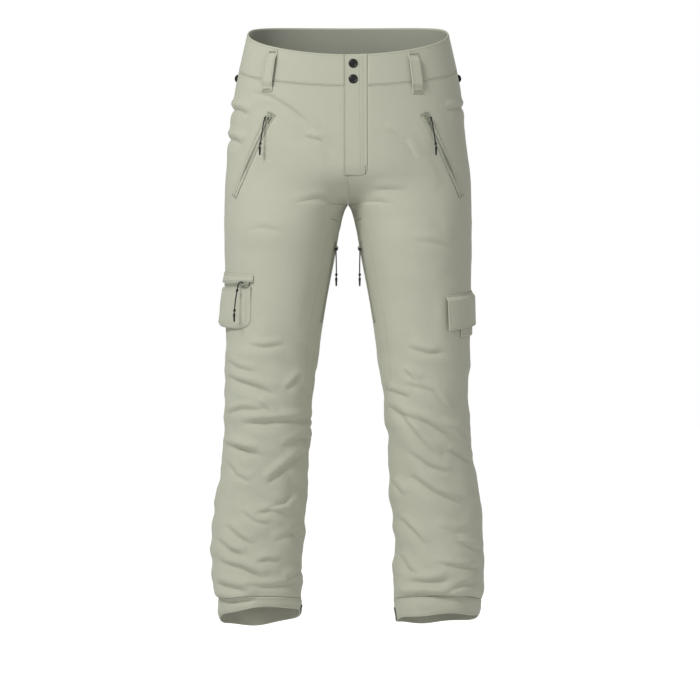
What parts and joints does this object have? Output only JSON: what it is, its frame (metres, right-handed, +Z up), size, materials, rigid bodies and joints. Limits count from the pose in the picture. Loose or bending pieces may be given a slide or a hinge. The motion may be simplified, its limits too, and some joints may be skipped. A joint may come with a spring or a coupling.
{
  "type": "ski pants",
  "caption": "Insulated ski pants with a snap and zip fly, belt loops, zipped hand pockets, thigh vents, side cargo pockets and boot gaiters in wide straight legs.",
  "frame": {"origin": "the middle of the waist opening, level with the waistband's average top edge", "axes": "+X to the wearer's left, -Y to the front of the pants, +Z up towards the waist"},
  "size_m": [0.478, 0.2773, 1.0459],
  "materials": {
    "shell_fabric": "matte light sage woven shell",
    "lining_fabric": "smooth woven lining",
    "zip_tape": "coated zip tape and coil",
    "zip_metal": "painted cast slider",
    "snap_metal": "black lacquered snap",
    "cord": "black braided cord",
    "rubber": "black moulded rubber",
    "webbing": "black webbing"
  },
  "bodies": {
    "pants": {"front_panel_left": "shell_fabric", "front_panel_right": "shell_fabric", "back_panel_left": "shell_fabric", "back_panel_right": "shell_fabric", "waistband_left": "shell_fabric", "waistband_right": "shell_fabric", "waistband_back": "shell_fabric", "waistband_lining": "lining_fabric", "waistband_underlap": "shell_fabric", "hem_band_left": "shell_fabric", "hem_band_right": "shell_fabric", "kick_patch_left": "rubber", "kick_patch_right": "rubber", "boot_gaiter_left": "lining_fabric", "boot_gaiter_right": "lining_fabric", "fly_shield": "lining_fabric", "fly_zip": "zip_tape", "snap_stud_upper": "snap_metal", "snap_stud_lower": "snap_metal", "belt_loop_front_left": "shell_fabric", "belt_loop_front_right": "shell_fabric", "belt_loop_back_left": "shell_fabric", "belt_loop_back_right": "shell_fabric", "belt_loop_back_centre": "shell_fabric", "side_loop_left": "webbing", "side_loop_right": "webbing", "hand_zip_left": "zip_tape", "hand_zip_right": "zip_tape", "hand_pocket_bag_left": "lining_fabric", "hand_pocket_bag_right": "lining_fabric", "vent_zip_left": "zip_tape", "vent_zip_right": "zip_tape", "vent_mesh_left": "lining_fabric", "vent_mesh_right": "lining_fabric", "cargo_welt": "shell_fabric", "cargo_zip": "zip_tape", "cargo_pouch_right": "shell_fabric", "cargo_pouch_left": "shell_fabric"},
    "fly_flap": {"fly_flap": "shell_fabric", "snap_cap_upper": "snap_metal", "snap_cap_lower": "snap_metal"},
    "fly_slider": {"fly_slider": "zip_metal"},
    "fly_pull": {"fly_pull": "zip_metal"},
    "cargo_flap": {"cargo_flap": "shell_fabric"},
    "hand_slider_left": {"hand_slider_left": "zip_metal"},
    "hand_pull_left": {"hand_cord_left": "cord", "hand_cord_end_left": "rubber"},
    "hand_slider_right": {"hand_slider_right": "zip_metal"},
    "hand_pull_right": {"hand_cord_right": "cord", "hand_cord_end_right": "rubber"},
    "vent_slider_left": {"vent_slider_left": "zip_metal"},
    "vent_pull_left": {"vent_cord_left": "cord", "vent_cord_end_left": "rubber"},
    "vent_slider_right": {"vent_slider_right": "zip_metal"},
    "vent_pull_right": {"vent_cord_right": "cord", "vent_cord_end_right": "rubber"},
    "cargo_slider": {"cargo_slider": "zip_metal"},
    "cargo_pull": {"cargo_cord": "cord", "cargo_cord_end": "rubber"}
  },
  "joints": [
    {"name": "fly_flap_hinge", "type": "hinge", "parent": "pants", "child": "fly_flap", "pos_m": [0.034, -0.1158, -0.1], "axis": [0, 0.068, 0.9977], "range_deg": [0, 110]},
    {"name": "fly_slider_slide", "type": "slide", "parent": "pants", "child": "fly_slider", "axis": [0, -0.0599, -0.9982], "range_m": [0, 0.09]},
    {"name": "fly_pull_hinge", "type": "hinge", "parent": "fly_slider", "child": "fly_pull", "pos_m": [0.013, -0.11081, -0.0984], "axis": [-1, 0, 0], "range_deg": [0, 66.5]},
    {"name": "cargo_flap_hinge", "type": "hinge", "parent": "pants", "child": "cargo_flap", "pos_m": [0.2127, -0.0392, -0.4335], "axis": [-0.296, -0.9505, -0.0945], "range_deg": [0, 150]},
    {"name": "hand_slider_left_glide", "type": "hinge", "parent": "pants", "child": "hand_slider_left", "pos_m": [-0.30408, 0.40343, -0.28762], "axis": [0.601, 0.6691, 0.4371], "range_deg": [0, 11.7]},
    {"name": "hand_pull_left_swing", "type": "hinge", "parent": "hand_slider_left", "child": "hand_pull_left", "pos_m": [0.13991, -0.09702, -0.13198], "axis": [-0.601, -0.6691, -0.4371], "range_deg": [0, 110]},
    {"name": "hand_slider_right_glide", "type": "hinge", "parent": "pants", "child": "hand_slider_right", "pos_m": [0.30408, 0.40343, -0.28762], "axis": [0.601, -0.6691, -0.4371], "range_deg": [0, 11.7]},
    {"name": "hand_pull_right_swing", "type": "hinge", "parent": "hand_slider_right", "child": "hand_pull_right", "pos_m": [-0.13991, -0.09702, -0.13198], "axis": [-0.601, 0.6691, 0.4371], "range_deg": [0, 110]},
    {"name": "vent_slider_left_slide", "type": "slide", "parent": "pants", "child": "vent_slider_left", "axis": [0.1725, -0.0332, -0.9845], "range_m": [0, 0.12]},
    {"name": "vent_pull_left_swing", "type": "hinge", "parent": "vent_slider_left", "child": "vent_pull_left", "pos_m": [0.01946, -0.03094, -0.35673], "axis": [-0.2088, 0.9755, -0.0695], "range_deg": [0, 16]},
    {"name": "vent_slider_right_slide", "type": "slide", "parent": "pants", "child": "vent_slider_right", "axis": [-0.1725, -0.0332, -0.9845], "range_m": [0, 0.12]},
    {"name": "vent_pull_right_swing", "type": "hinge", "parent": "vent_slider_right", "child": "vent_pull_right", "pos_m": [-0.01946, -0.03094, -0.35673], "axis": [-0.2088, -0.9755, 0.0695], "range_deg": [0, 16]},
    {"name": "cargo_slider_glide", "type": "hinge", "parent": "pants", "child": "cargo_slider", "pos_m": [-0.10645, -0.00748, -0.42], "axis": [0, 0, -1], "range_deg": [0, 27.9]},
    {"name": "cargo_pull_swing", "type": "hinge", "parent": "cargo_slider", "child": "cargo_pull", "pos_m": [-0.18254, -0.09642, -0.42], "axis": [-0.7599, 0.6501, 0], "range_deg": [0, 12]}
  ],
  "couplings": [
    {"joint": "fly_pull_hinge", "follows": "fly_flap_hinge", "ratio": 0.6}
  ]
}
